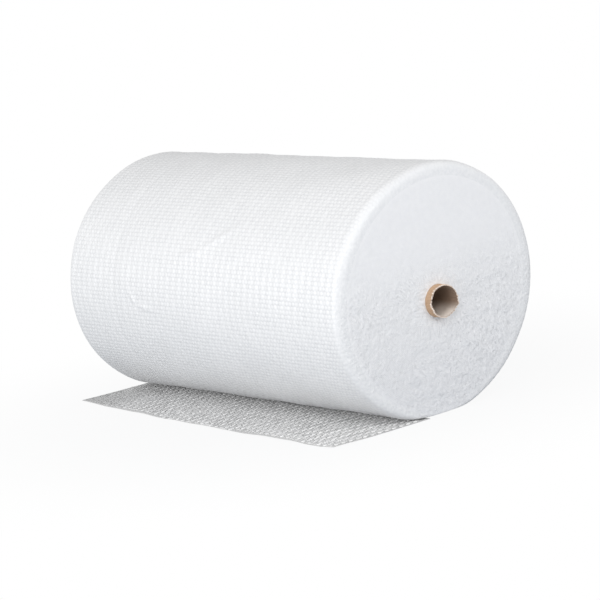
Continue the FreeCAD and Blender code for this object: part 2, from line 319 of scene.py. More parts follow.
@dataclass(frozen=True)
class BubbleLattice:
    """The pattern of the bubbles on the film, in staggered rows across the web."""

    pitch: float = 11 * MM
    radius: float = 5 * MM
    row_pitch: float = 11 * MM * math.sqrt(3) / 2
    stretch: float = 0.85
    # more than a row has bubbles, so that each bubble has a number of its own
    row_numbers: float = 4096.0

    def place(
        self, add: Adder, web: Value, pitch: Value, row_pitch: Value, radius: Value
    ) -> tuple[Node, Node]:
        """Adds the nodes that find where a point of the web lies in the lattice.

        Args:
            add: adds a node to a geometry or material tree.
            web: lengths across and along the web.
            pitch: distance from bubble to bubble in a row, a number or a socket.
            row_pitch: distance from row to row, a number or a socket.
            radius: radius of a bubble, a number or a socket.

        Returns:
            Nodes: the distance from the nearest bubble's middle as a share of the radius, and the
            bubble's number.
        """
        across, along = add("ShaderNodeSeparateXYZ", (web,)).outputs[:2]
        rows = add(DIVIDE, (along, row_pitch))
        row = add(ROUND, (rows,))
        row_middle = add(MULTIPLY, (row, row_pitch))
        beyond_row = add(SUBTRACT, (along, row_middle))
        odd = add(MODULO, (row, 2.0))
        stagger = add(MULTIPLY, (odd, 0.5))
        columns = add(DIVIDE, (across, pitch))
        steps = add(SUBTRACT, (columns, stagger))
        bubble = add(ROUND, (steps,))
        part = add(SUBTRACT, (steps, bubble))
        length = add(MULTIPLY, (part, pitch))
        beyond_bubble = add(MULTIPLY, (length, self.stretch))
        offset = add("ShaderNodeCombineXYZ", (beyond_bubble, beyond_row))
        distance = add(LENGTH, (offset,))
        first = add(MULTIPLY, (row, self.row_numbers))
        number = add(ADD, (first, bubble))
        return add(DIVIDE, (distance, radius)), number

    def cushion_tree(self) -> NodeTree:
        """Builds the node tree that lifts the film over each bubble behind it.

        Returns:
            A geometry node group. It reads the attributes web, outward and lift.
        """
        tree, add, given = geometry_tree("bubble_cushions", {
            "Bubble Pitch": "Float", "Row Pitch": "Float", "Bubble Radius": "Float",
            "Cushion Height": "Float", "Slackness": "Float", "Seed": "Int", "Film": "Material",
        })
        web, outward = (
            add(f"{NAMED_ATTRIBUTE} FLOAT_VECTOR", {"Name": name}) for name in ("web", "outward")
        )
        lift = add(NAMED_ATTRIBUTE, {"Name": "lift"})
        sizes = (given[name] for name in ("Bubble Pitch", "Row Pitch", "Bubble Radius"))
        share, number = self.place(add, web, *sizes)
        square = add(MULTIPLY, (share, share))
        dome = add(SUBTRACT, (1.0, square))
        crown = add(MAXIMUM, (dome, 0.0))
        more = add(MULTIPLY, (given["Slackness"], 0.5))
        fullest = add(ADD, (1.0, more))
        slackest = add(SUBTRACT, (1.0, given["Slackness"]))
        fill = add(RANDOM, {2: slackest, 3: fullest, "ID": number, "Seed": given["Seed"]})
        filled = add(MULTIPLY, (crown, fill))
        height = add(MULTIPLY, (filled, given["Cushion Height"]))
        lifted = add(MULTIPLY, (height, lift))
        push = add("ShaderNodeVectorMath SCALE", {0: outward, 3: lifted})
        moved = add("GeometryNodeSetPosition", {"Geometry": given["Geometry"], "Offset": push})
        return end_tree(tree, moved, given["Film"])

    def dome_tree(self) -> NodeTree:
        """Builds the node tree that puts a bubble on every point of the loose end.

        Returns:
            A geometry node group. It reads the attribute fill, the share of full height.
        """
        tree, add, given = geometry_tree("bubble_domes", {
            "Bubble": "Object", "Slackness": "Float", "Tilt": "Float", "Seed": "Int", "Film": "Material",
        })
        slackest = add(SUBTRACT, (1.0, given["Slackness"]))
        fill = add(RANDOM, {2: slackest, 3: 1.0, "Seed": given["Seed"]})
        room = add(NAMED_ATTRIBUTE, {"Name": "fill"})
        height = add(MULTIPLY, (fill, room))
        size = add("ShaderNodeCombineXYZ", (1.0, 1.0, height))
        least = add(MULTIPLY, (given["Tilt"], -1.0))
        limits = {0: least, 1: given["Tilt"], "Seed": given["Seed"]}
        lean = add("FunctionNodeRandomValue FLOAT_VECTOR", limits)
        bubble = add("GeometryNodeObjectInfo", {"Object": given["Bubble"]}).outputs["Geometry"]
        spread = {"Points": given["Geometry"], "Instance": bubble, "Rotation": lean, "Scale": size}
        placed = add("GeometryNodeInstanceOnPoints", spread)
        return end_tree(tree, placed, given["Film"])


class Finish(ABC):
    """A surface of the roll, each kind of which is a frozen dataclass."""

    name: str

    @abstractmethod
    def looks(self, add: Adder, place: Value) -> dict:
        """Adds the nodes that are the surface's own.

        Args:
            add: adds a node to the material.
            place: the Object coordinates.

        Returns:
            What the shader's inputs take.
        """

    def material(self) -> Material:
        """Builds the material.

        Returns:
            The material.
        """
        made = bpy.data.materials.new(self.name)
        made.use_nodes = True
        tree = made.node_tree
        place = add_node(tree, "ShaderNodeTexCoord").outputs["Object"]
        set_inputs(tree, tree.nodes["Principled BSDF"], self.looks(partial(add_node, tree), place))
        return made


@dataclass(frozen=True)
class WoundFilmFinish(Finish):
    """Low-density polyethylene film, blown and laminated, many turns deep.

    Dozens of clear layers scatter the light, so the roll looks white and only its skin shines. Each
    bubble shows through the skin as a paler crown in a ring of painted shade.
    """

    lattice: BubbleLattice
    row_pitch: float
    name: str = "wound_polyethylene_bubble_film"
    light: str = "F4F4F5"
    dark: str = "EBECED"
    # painted shade: the grey of the hollow ring round each bubble
    ring: str = "E1E2E4"
    rim: str = "F9F9FA"
    # painted shade: the rim colour where the wrinkles dip
    rim_shade: str = "E0E2E5"
    ring_share: float = 0.4
    crown_share: float = 0.55
    roughness: float = 0.4
    gloss: float = 1.6
    bubble_depth: float = 0.35 * MM
    wrinkle_size: float = 7 * MM
    wrinkle_depth: float = 0.45 * MM
    rim_crumple: float = 6.0
    cloud_size: float = 90 * MM

    def looks(self, add: Adder, place: Value) -> dict:
        """Adds the nodes, which read the attributes web, lift and rough of the film."""
        web = add(ATTRIBUTE, attribute_name="web").outputs["Vector"]
        lift, rough = (add(ATTRIBUTE, attribute_name=name).outputs["Fac"] for name in ("lift", "rough"))
        cloud = add(NOISE, {"Vector": place, "Scale": 1 / self.cloud_size, "Detail": 3.0})
        film = add(MIX, {0: cloud, 6: self.dark, 7: self.light})
        lattice = self.lattice
        share, number = lattice.place(add, web, lattice.pitch, self.row_pitch, lattice.radius)
        full = add("ShaderNodeTexWhiteNoise", {"W": number}, noise_dimensions="1D")
        limits = {"Value": share, 1: self.crown_share, 2: 1.0, 3: 1.0, 4: 0.0}
        crown = add(MAP_RANGE, limits, interpolation_type="SMOOTHSTEP")
        patchy = add(MAP_RANGE, {"Value": full, 3: self.ring_share, 4: 1.0})
        strength = add(MULTIPLY, (patchy, lift))
        edge = add(SUBTRACT, (1.0, crown))
        shade = add(MULTIPLY, (edge, strength))
        # painted shade in the hollow round each bubble, stronger for some bubbles than others
        ring_shaded = add(MIX, {0: shade, 6: film, 7: self.ring})
        wrinkle = add(NOISE, {"Vector": place, "Scale": 1 / self.wrinkle_size, "Detail": 4.0})
        # painted shade: darker where the wrinkles dip, near the ends and the floor
        rim = add(MIX, {0: wrinkle, 6: self.rim_shade, 7: self.rim})
        skin = add(MIX, {0: lift, 6: rim, 7: ring_shaded})
        crumple = add(MULTIPLY_ADD, (rough, self.rim_crumple, 1.0))
        fold = add(MULTIPLY, (wrinkle, crumple))
        creased = add(BUMP, {"Height": fold, "Distance": self.wrinkle_depth})
        height = add(MULTIPLY, (crown, strength))
        bubbled = add(BUMP, {"Height": height, "Distance": self.bubble_depth, "Normal": creased})
        return {"Base Color": skin, "Normal": bubbled, "Roughness": self.roughness, "IOR": self.gloss}


@dataclass(frozen=True)
class CutEdgeFinish(Finish):
    """Slit edges of many turns of film, crumpled and milky, with painted shade between the turns and low
    down.
    """

    name: str = "slit_edges_of_wound_film"
    crest: str = "F9F9FA"
    # painted shade: the grey of the valleys between turns and of the lower part of the ends
    painted_valley_shade: str = "E8E9EC"
    mottle_share: float = 0.5
    roughness: float = 0.45
    gloss: float = 1.5
    mottle_size: float = 10 * MM
    mottle_depth: float = 3.0 * MM

    def looks(self, add: Adder, place: Value) -> dict:
        """Adds the nodes, which read the attributes depth and rough of the ends; depth carries the painted
        shade.
        """
        depth, rough = (add(ATTRIBUTE, attribute_name=name).outputs["Fac"] for name in ("depth", "rough"))
        mottle = add(NOISE, {"Vector": place, "Scale": 1 / self.mottle_size, "Detail": 5.0})
        mixed = add(MULTIPLY_ADD, (mottle, self.mottle_share, depth), use_clamp=True)
        milky_and_shaded = add(MIX, {0: mixed, 6: self.crest, 7: self.painted_valley_shade})
        height = add(MULTIPLY, (mottle, rough))
        bump = add(BUMP, {"Height": height, "Distance": self.mottle_depth})
        return {"Base Color": milky_and_shaded, "Normal": bump, "Roughness": self.roughness, "IOR": self.gloss}


@dataclass(frozen=True)
class LooseFilmFinish(Finish):
    """One layer of the same film, painted grey for the shade that shows through it; each bubble glints."""

    name: str
    light: str
    dark: str
    roughness: float
    gloss: float = 1.5
    # painted shade: how much darker a flatter bubble is painted
    fill_shade_share: float = 1.2
    dark_below: float = 0.9
    light_above: float = 1.8
    cloud_size: float = 22 * MM
    crinkle_size: float = 4 * MM
    crinkle_depth: float = 0.15 * MM

    def looks(self, add: Adder, place: Value) -> dict:
        """Adds the nodes, which read the attribute fill of the bubbles: a lower fill gives a darker
        colour, as painted shade.
        """
        full = add(ATTRIBUTE, attribute_name="fill").outputs["Fac"]
        cloud = add(NOISE, {"Vector": place, "Scale": 1 / self.cloud_size, "Detail": 3.0})
        # painted shade: flatter bubbles, under the drum, in the streaks and at the far corner, are painted
        # darker
        shade_and_cloud = add(MULTIPLY_ADD, (full, self.fill_shade_share, cloud))
        pale = add(MAP_RANGE, {"Value": shade_and_cloud, 1: self.dark_below, 2: self.light_above})
        film = add(MIX, {0: pale, 6: self.dark, 7: self.light})
        crinkle = add(NOISE, {"Vector": place, "Scale": 1 / self.crinkle_size, "Detail": 3.0})
        bump = add(BUMP, {"Height": crinkle, "Distance": self.crinkle_depth})
        return {"Base Color": film, "Normal": bump, "Roughness": self.roughness, "IOR": self.gloss}


@dataclass(frozen=True)
class KraftFinish(Finish):
    """Spiral-wound board, matt and fibrous: tan kraft outside, grey recycled board within.

    A tear opens its plies, which are paler than the faces. The low of the bore gets the same pale colour
    as painted light.
    """

    name: str = "spiral_wound_kraft_board"
    face: str = "D3B394"
    shade: str = "B49276"
    inside: str = "97806E"
    inside_shade: str = "7C6757"
    # the pale of torn plies, also painted on the low of the bore as painted light
    torn: str = "F3E8DE"
    roughness: float = 0.85
    # real fibres are finer, and are drawn as coarse as they need to show
    fibre_size: float = 1.2 * MM
    fibre_depth: float = 0.15 * MM

    def looks(self, add: Adder, place: Value) -> dict:
        """Adds the nodes, which read the pale mark and the attribute bore of the tube; the pale mark
        stands for the torn plies and for the painted light in the bore.
        """
        bore, tear = (add(ATTRIBUTE, attribute_name=name).outputs["Fac"] for name in ("bore", "torn"))
        fibre = add(NOISE, {"Vector": place, "Scale": 1 / self.fibre_size, "Detail": 6.0})
        kraft = add(MIX, {0: fibre, 6: self.shade, 7: self.face})
        grey = add(MIX, {0: fibre, 6: self.inside_shade, 7: self.inside})
        whole = add(MIX, {0: bore, 6: kraft, 7: grey})
        board = add(MIX, {0: tear, 6: whole, 7: self.torn})
        bump = add(BUMP, {"Height": fibre, "Distance": self.fibre_depth})
        return {"Base Color": board, "Normal": bump, "Roughness": self.roughness}


@dataclass(frozen=True)
class Crease:
    """A soft fold line on the roll, between two places given as x and length up the front."""

    start: tuple[float, float]
    end: tuple[float, float]
    width: float
    height: float
    tip: float = 0.02

    def lift(self, places: Array) -> Array:
        """How far the fold raises the film.

        Args:
            places: x and length round the roll, in the last axis.

        Returns:
            The height at each place.
        """
        start, end = np.array(self.start), np.array(self.end)
        run = end - start
        share = np.clip((places - start) @ run / (run @ run), 0.0, 1.0)
        nearest = start + share[..., None] * run
        gap = np.linalg.norm(places - nearest, axis=-1)
        fade = np.sin(math.pi * np.clip(share, self.tip, 1 - self.tip))
        return self.height * np.exp(-((gap / self.width) ** 2)) * fade


@dataclass
class RollForm:
    """The soft roll's outline: a circle that sags a little and is flat where it rests."""

    radius: float
    web_end: float
    core_height: float
    core_radius: float
    rest_height: float = 0.6 * MM
    # the soft roll is wider than it is high, and bulges at the foot of its front
    sag: float = 0.0112
    slump: float = 0.0267
    sink: float = 8.2 * MM
    flat_blend: float = 4 * MM
    shoulder_length: float = 20 * MM
    shoulder_drop: float = 30 * MM
    shoulder_power: float = 3.0
    squash: float = 0.63
    squash_spread: float = math.radians(35)
    end_lean: float = 0.04
    lean_start: float = 0.25
    steps: int = 7200
    shoulder_steps: int = 200

    def __post_init__(self) -> None:
        """Works out the tables of the outline and of the shoulder."""
        self.axis_height = self.radius * (1 - self.sag) - self.sink
        self.turn = np.linspace(0.0, 2 * math.pi, self.steps + 1)
        ring = self.ring(self.turn, 0.0)
        self.around = np.concatenate([[0.0], np.cumsum(np.linalg.norm(np.diff(ring, axis=0), axis=1))])
        lean = np.linspace(0.0, math.pi / 2, self.shoulder_steps)
        power = 2 / self.shoulder_power
        shoulder_x = self.shoulder_length * np.sin(lean) ** power
        shoulder_inset = self.shoulder_drop * (1 - np.cos(lean) ** power)
        step = np.hypot(np.diff(shoulder_x), np.diff(shoulder_inset))
        self.shoulder_way = np.concatenate([[0.0], np.cumsum(step)])
        self.shoulder_x, self.shoulder_inset = shoulder_x, shoulder_inset
        self.flat_end = self.web_end - self.shoulder_length
        self.web_half = self.flat_end + self.shoulder_way[-1]

    def ring(self, turn: Array, inset: Array | float) -> Array:
        """Points of the outline, which starts below and rises up the front.

        Args:
            turn: angles from the lowest point.
            inset: how far inside the outer skin the points lie, less where the weight squashes the rim.

        Returns:
            Y and z of each point in the last axis.
        """
        below = (turn + math.pi) % (2 * math.pi) - math.pi
        inset = inset * (1 - self.squash * np.exp(-((below / self.squash_spread) ** 2)))
        reach = self.radius * (1 - self.sag * np.cos(2 * turn) + self.slump * np.sin(2 * turn)) - inset
        y = -reach * np.sin(turn)
        above = self.axis_height - reach * np.cos(turn) - self.rest_height
        z = self.rest_height + (above + np.sqrt(above * above + self.flat_blend**2)) / 2
        return np.stack([y, z], axis=-1)

    def leaned(self, x: Array, z: Array) -> Array:
        """Moves places near the torn end along the roll, because that end leans out at its top."""
        return x + self.end_lean * (z - self.axis_height) * smooth_step(self.lean_start, self.flat_end, x)

    def skin(self, across: Array, around: Array) -> tuple[Array, Array]:
        """Points on the skin of the drum, over its shoulders too.

        Args:
            across: lengths across the web, from its middle, one for each column.
            around: lengths round the roll, from the lowest point up the front, one for each row.

        Returns:
            The points and the directions out of the skin, rows by columns by 3.
        """
        beyond = np.clip(np.abs(across) - self.flat_end, 0.0, None)
        flat = np.minimum(np.abs(across), self.flat_end)
        x = np.sign(across) * (flat + np.interp(beyond, self.shoulder_way, self.shoulder_x))
        inset = np.interp(beyond, self.shoulder_way, self.shoulder_inset)
        turn = np.interp(around, self.around, self.turn)
        side = self.ring(turn[:, None], inset[None, :])
        points = np.concatenate([self.leaned(x[None, :], side[..., 1])[..., None], side], axis=-1)
        out = np.cross(np.gradient(points, axis=0), np.gradient(points, axis=1))
        out /= np.linalg.norm(out, axis=-1, keepdims=True)
        middle = np.array([0.0, 0.0, self.axis_height])
        flip = np.sign(np.sum(out * (points - middle), axis=-1, keepdims=True))
        return points, out * flip


@dataclass
class WoundFilm:
    """The wound film: its drum in three sectors and its two ends of film edges."""

    form: RollForm
    lattice: BubbleLattice
    samples: int = 4
    cushion_height: float = 0.6 * MM
    slackness: float = 0.35
    lump_height: float = 1.0 * MM
    lump_size: float = 160 * MM
    band_height: float = 0.55 * MM
    band_size: float = 22 * MM
    band_drift: float = 0.8
    drift_bands: float = 8
    step_place: float = -0.315
    step_width: float = 14 * MM
    step_height: float = 1.2 * MM
    turns: int = 60
    edge_segments: int = 516
    edge_height: float = 1.3 * MM
    edge_wave: float = 0.5 * MM
    mottle_size: float = 9 * MM
    wander_size: float = 45 * MM
    wander_height: float = 0.6 * MM
    smooth_top: float = 0.8
    # painted shade that greys the ends towards the bottom
    low_shade: float = 0.7
    fade: float = 6 * MM
    # the weight presses the relief flat up to the first height, and leaves it free above the second
    pressed_below: float = 1 * MM
    free_above: float = 15 * MM
    # the ends: how the crumple and the painted shade fade towards the core and the rim, and how deep it
    # lies
    core_fade: float = 0.02
    rim_fade: float = 0.05
    crumple_mean: float = 0.7
    crumple_spread: float = 0.35
    crumple_waves: int = 48
    edge_sunk: float = 0.1 * MM
    edge_shade: float = 0.25
    shade_share: float = 0.6
    overlap: float = 0.5 * MM
    lump_seed: int = 3
    band_seed: int = 5
    cushion_seed: int = 7
    crumple_seed: int = 11
    wander_seed: int = 21
    creases: tuple[Crease, ...] = (
        Crease((-0.070, 0.545), (0.020, 0.560), 8 * MM, 3.0 * MM),
        Crease((0.010, 0.560), (0.120, 0.625), 9 * MM, 3.2 * MM),
        Crease((-0.255, 0.460), (-0.225, 0.425), 6 * MM, 2.4 * MM),
        Crease((-0.225, 0.425), (-0.150, 0.415), 6 * MM, 2.2 * MM),
    )

    def lumps(self, points: Array, places: Array) -> Array:
        """The unevenness of the winding: soft lumps, bands round the roll and the creases.

        Args:
            points: places on the skin.
            places: their x and length round the roll.

        Returns:
            How far each place stands out.
        """
        x = places[..., 0]
        drift = self.band_drift * noise(places, self.drift_bands * self.band_size, self.band_seed)
        bands = self.band_height * np.sin(2 * math.pi * x / self.band_size + drift)
        step = np.exp(-(((x - self.step_place) / self.step_width) ** 2)) * self.step_height
        lift = noise(points, self.lump_size, self.lump_seed) * self.lump_height + bands - step
        for crease in self.creases:
            lift = lift + crease.lift(places)
        return lift

    def row_pitch(self) -> float:
        """The distance between rows that fits a whole number of rows round the roll."""
        length = self.form.around[-1]
        return length / round(length / self.lattice.row_pitch)

    def drum(self, film: Material) -> list[Object]:
        """Makes the drum, split along valleys between rows.

        Args:
            film: the film's material.

        Returns:
            One piece for each sector.
        """
        form, lattice = self.form, self.lattice
        row_pitch = self.row_pitch()
        rows = round(form.around[-1] / row_pitch)
        columns = 2 * round(form.web_half / lattice.pitch * self.samples)
        across = np.linspace(-form.web_half, form.web_half, columns + 1)
        tree = lattice.cushion_tree()
        sectors = []
        names = ("wound_film_front", "wound_film_top", "wound_film_back")
        for number, name in enumerate(names):
            first, last = (round(rows * part / len(names)) for part in (number, number + 1))
            steps = np.arange(first * self.samples, last * self.samples + 1)
            around = steps / self.samples * row_pitch
            points, out = form.skin(across, around)
            places = np.stack(np.broadcast_arrays(points[..., 0], around[:, None]), axis=-1)
            lift = self.calm(across) * smooth_step(self.pressed_below, self.free_above, points[..., 2])
            rough = (1 - self.calm(across)) * self.crumpled(points[..., 2])
            points = points + out * (self.lumps(points, places) * lift)[..., None]
            along = around[:, None] + row_pitch / 2
            web = np.stack(np.broadcast_arrays(across[None, :], along, 0.0), axis=-1)
            outward = points[0, 0] - np.array([0.0, 0.0, form.axis_height])
            layers = {"web": web, "outward": out, "lift": lift, "rough": rough}
            piece = grid_mesh(name, points, outward, layers)
            grow(piece, tree, {
                "Bubble Pitch": lattice.pitch, "Row Pitch": row_pitch, "Bubble Radius": lattice.radius,
                "Cushion Height": self.cushion_height, "Slackness": self.slackness,
                "Seed": self.cushion_seed, "Film": film,
            })
            sectors.append(piece)
        return sectors

    def calm(self, across: Array) -> Array:
        """Fades the relief out where the skin meets the ends."""
        return 1 - smooth_step(self.form.flat_end - self.fade, self.form.web_half, np.abs(across))[None, :]

    def crumpled(self, height: Array) -> Array:
        """How crumpled the film edges are at a height: fully in the lower half, smoother at the top."""
        return 1 - self.smooth_top * smooth_step(
            self.form.core_height, self.form.core_height + self.form.radius / 2, height
        )

    def end(self, side: Side, film: Material) -> Object:
        """Makes one end: the spiral of film edges between the core and the shoulder.

        Args:
            side: which end it is.
            film: the material of the film edges.

        Returns:
            The piece.
        """
        form = self.form
        rings = 2 * self.turns
        turn = np.linspace(0.0, 2 * math.pi, self.edge_segments + 1)
        ring = np.arange(rings + 3)
        wound = (ring[:, None] - 2) / 2 + turn[None, :] / (2 * math.pi)
        share = np.clip(wound / self.turns, 0.0, 1.0)
        outer = form.ring(turn, form.shoulder_drop - self.overlap)
        circle = np.stack([-np.sin(turn), -np.cos(turn)], axis=-1) * form.core_radius
        inner = circle + np.array([0.0, form.core_height])
        reach = outer - inner
        fade = smooth_step(0.0, self.core_fade, share) * (1 - smooth_step(1 - self.rim_fade, 1.0, share))
        depth = np.linalg.norm(reach, axis=-1)[None, :] / self.turns
        length = 2 * math.pi * wound * (form.core_radius + depth * wound / 2)
        wave = np.sin(2 * math.pi * length / self.lattice.pitch) * self.edge_wave * fade
        flat = inner[None] + reach[None] * (share + wave / (depth * self.turns))[..., None]
        calm = self.crumpled(flat[..., 1])
        crumple = noise(flat, self.mottle_size, self.crumple_seed + side.value, self.crumple_waves)
        uneven = self.crumple_mean + self.crumple_spread * crumple
        wander = noise(flat, self.wander_size, self.wander_seed + side.value) * self.wander_height
        crest = np.where(ring % 2, 1.0, -1.0)[:, None]
        height = (crest * uneven * self.edge_height / 2 + wander) * calm * fade - self.edge_sunk
        x = side.value * (form.web_end + height)
        points = np.concatenate([form.leaned(x, flat[..., 1])[..., None], flat], axis=-1)
        # painted shade: greyer in the valleys between turns, paler on the crests, a plain grey near the
        # core and the rim
        painted_shade = (0.5 - 0.5 * crest * calm * uneven).clip(0.0, 1.0) * fade + self.edge_shade * (1 - fade)
        # painted shade: the ends grow greyer towards the bottom, below the core's height
        painted_shade = painted_shade + self.low_shade * (1 - smooth_step(0.0, form.core_height, flat[..., 1]))
        name = f"film_edges_{side.name.lower()}_end"
        layers = {"depth": painted_shade * self.shade_share, "rough": calm}
        piece = grid_mesh(name, points, np.array([side.value, 0.0, 0.0]), layers)
        merge_close(piece, MERGE_GAP)
        piece.data.materials.append(film)
        return piece

    def build(self, skin: Material, edges: Material) -> list[Object]:
        """Makes every piece of the wound film.

        Args:
            skin: the material of the drum.
            edges: the material of the ends.

        Returns:
            The pieces.
        """
        pieces = self.drum(skin) + [self.end(side, edges) for side in Side]
        for piece in pieces:
            fit_piece(piece, FILM_NODE)
        return pieces


@dataclass
class LooseEnd:
    """The loose end of the film, which lies on the floor in front of the roll with its bubbles up."""

    form: RollForm
    lattice: BubbleLattice
    reach: float
    skew: float = 40 * MM
    bow: float = 10 * MM
    start: float = 62 * MM
    film: float = 0.5 * MM
    bubble_height: float = 2.4 * MM
    curl: float = 2.5 * MM
    curl_from: float = 120 * MM
    curl_size: float = 170 * MM
    curl_waves: int = 8
    curl_seed: int = 31
    slackness: float = 0.3
    tilt: float = 0.07
    # rows of slack bubbles cross the loose end as soft streaks, and its far corner is pressed flat;
    # flatter bubbles are also painted darker, as painted shade
    streak: float = 19 * MM
    streak_share: float = 0.45
    pressed: float = 0.6
    pressed_size: float = 260 * MM
    least_fill: float = 0.1
    # room that is left between a bubble and the drum above it
    headroom: float = 0.5 * MM
    bubble_seed: int = 4
    columns: int = 121
    rows: int = 31
    sides: int = 10
    bubble_profile: tuple[tuple[float, float], ...] = ((1.0, 0.0), (0.94, 0.52), (0.64, 0.9))

    def turned(self, across: Array, forward: Array, height: Array) -> Array:
        """Places of the loose end, which runs out askew.

        Args:
            across: lengths across the web.
            forward: lengths from the roll's axis line to the front.
            height: heights above the floor.

        Returns:
            The points, in the last axis.
        """
        lean = math.atan(self.skew / (2 * self.form.web_end))
        x = across * math.cos(lean) - forward * math.sin(lean)
        y = -forward * math.cos(lean) - across * math.sin(lean)
        return np.stack(np.broadcast_arrays(x, y, height), axis=-1)

    def front(self, across: Array) -> Array:
        """How far the cut edge lies from the axis line."""
        return self.reach + self.bow * (1 - (across / self.form.web_end) ** 2)

    def back(self, across: Array) -> Array:
        """How far in front of the axis line the loose end leaves the roll, all along the contact."""
        return self.start - across * self.skew / (2 * self.form.web_end)

    def lie(self, across: Array, forward: Array) -> Array:
        """Height of the film's underside: flat below the roll, a little wavy in front."""
        places = np.stack(np.broadcast_arrays(across, forward), axis=-1)
        wave = 0.5 + 0.5 * noise(places, self.curl_size, self.curl_seed, self.curl_waves)
        return self.curl * smooth_step(self.curl_from, self.reach, forward) * wave.clip(0.0, None)

    def sheet(self, film: Material) -> Object:
        """Makes the backing film, a closed thin sheet.

        Args:
            film: its material.

        Returns:
            The sheet.
        """
        across = np.linspace(-self.form.web_end, self.form.web_end, self.columns)[None, :]
        share = np.linspace(0.0, 1.0, self.rows)[:, None]
        back, front = self.back(across), self.front(across)
        forward = back + share * (front - back)
        low = self.lie(across, forward)
        under, over = (self.turned(across, forward, height) for height in (low, low + self.film))
        closed = np.concatenate([over, under[::-1], over[:1]], axis=0)
        piece = grid_mesh("loose_end_film", closed, np.array([0.0, 0.0, 1.0]))
        merge_close(piece, MERGE_GAP)
        self.cap_sides(piece)
        piece.data.materials.append(film)
        return piece

    def cap_sides(self, piece: Object) -> None:
        """Closes the two long edges of the sheet.

        Args:
            piece: the sheet, open there.
        """
        shape = bmesh.new()
        shape.from_mesh(piece.data)
        bmesh.ops.holes_fill(shape, edges=[edge for edge in shape.edges if edge.is_boundary], sides=0)
        bmesh.ops.triangulate(shape, faces=[face for face in shape.faces if len(face.verts) > 4])
        bmesh.ops.recalc_face_normals(shape, faces=shape.faces)
        shape.to_mesh(piece.data)
        shape.free()

    def bubble(self) -> Object:
        """Makes the one closed bubble that the node tree repeats.

        Returns:
            The bubble, with its middle at the origin.
        """
        turn = np.arange(self.sides) * 2 * math.pi / self.sides
        radius, height = self.lattice.radius, self.bubble_height
        points = [(0.0, 0.0, height)]
        for part, level in reversed(self.bubble_profile):
            ring = radius * part
            points += [(ring * math.cos(angle), ring * math.sin(angle), height * level) for angle in turn]
        points.append((0.0, 0.0, 0.0))
        last, rim = len(points) - 1, 1 + (len(self.bubble_profile) - 1) * self.sides
        faces = []
        for here in range(self.sides):
            there = (here + 1) % self.sides
            faces.append((0, 1 + here, 1 + there))
            for high in range(1, rim, self.sides):
                low = high + self.sides
                faces.append((high + here, low + here, low + there, high + there))
            faces.append((last, rim + there, rim + here))
        return new_mesh("one_bubble", points, faces)

    def bubbles(self, film: Material) -> Object:
        """Makes the bubbles on the loose end, in the rows of the lattice.

        Args:
            film: their material.

        Returns:
            All the bubbles, as one piece.
        """
        lattice, form = self.lattice, self.form
        first = self.start - self.skew / 2 + lattice.radius
        rows = np.arange(first, self.reach + self.bow, lattice.row_pitch)
        line = np.arange(-form.web_end + lattice.radius, form.web_end - lattice.radius, lattice.pitch)
        stagger = np.where(np.arange(len(rows)) % 2, lattice.pitch / 2, 0.0)
        across, forward = (line + stagger[:, None]).ravel(), np.repeat(rows, len(line))
        inside = across < form.web_end - lattice.radius
        inside &= forward < self.front(across) - lattice.radius
        inside &= forward > self.back(across) + lattice.radius * NEARLY
        across, forward = across[inside], forward[inside]
        base = self.lie(across, forward) + self.film
        places = self.turned(across, forward, base)
        drum = np.sqrt(form.radius**2 - places[:, 1].clip(-form.radius * NEARLY, None) ** 2)
        room = (form.axis_height - drum - base - self.headroom) / self.bubble_height
        wave = 0.5 + 0.5 * np.sin(2 * math.pi * (across - forward) / self.streak)
        corner = np.hypot(across + form.web_end, self.front(across) - forward)
        flat = 1 - self.pressed * (1 - smooth_step(0.0, self.pressed_size, corner))
        # painted shade: a flatter bubble, under the drum, in a streak or at the far corner, is also
        # painted darker
        fill = np.minimum(room, (1 - self.streak_share * wave) * flat).clip(self.least_fill, 1.0)
        piece = new_mesh("loose_end_bubbles", places.tolist(), [])
        layer = piece.data.attributes.new("fill", "FLOAT", "POINT")
        layer.data.foreach_set("value", fill.astype(np.float32))
        one = self.bubble()
        grow(piece, lattice.dome_tree(), {
            "Bubble": one, "Slackness": self.slackness, "Tilt": self.tilt,
            "Seed": self.bubble_seed, "Film": film,
        })
        bpy.data.objects.remove(one)
        return piece

    def build(self, film: Material, domes: Material) -> list[Object]:
        """Args:
            film: the material of the sheet.
            domes: the material of the bubbles.

        Returns:
            The two pieces.
        """
        sheet, bubbles = self.sheet(film), self.bubbles(domes)
        for piece in (sheet, bubbles):
            fit_piece(piece, FILM_NODE)
        return [sheet, bubbles]


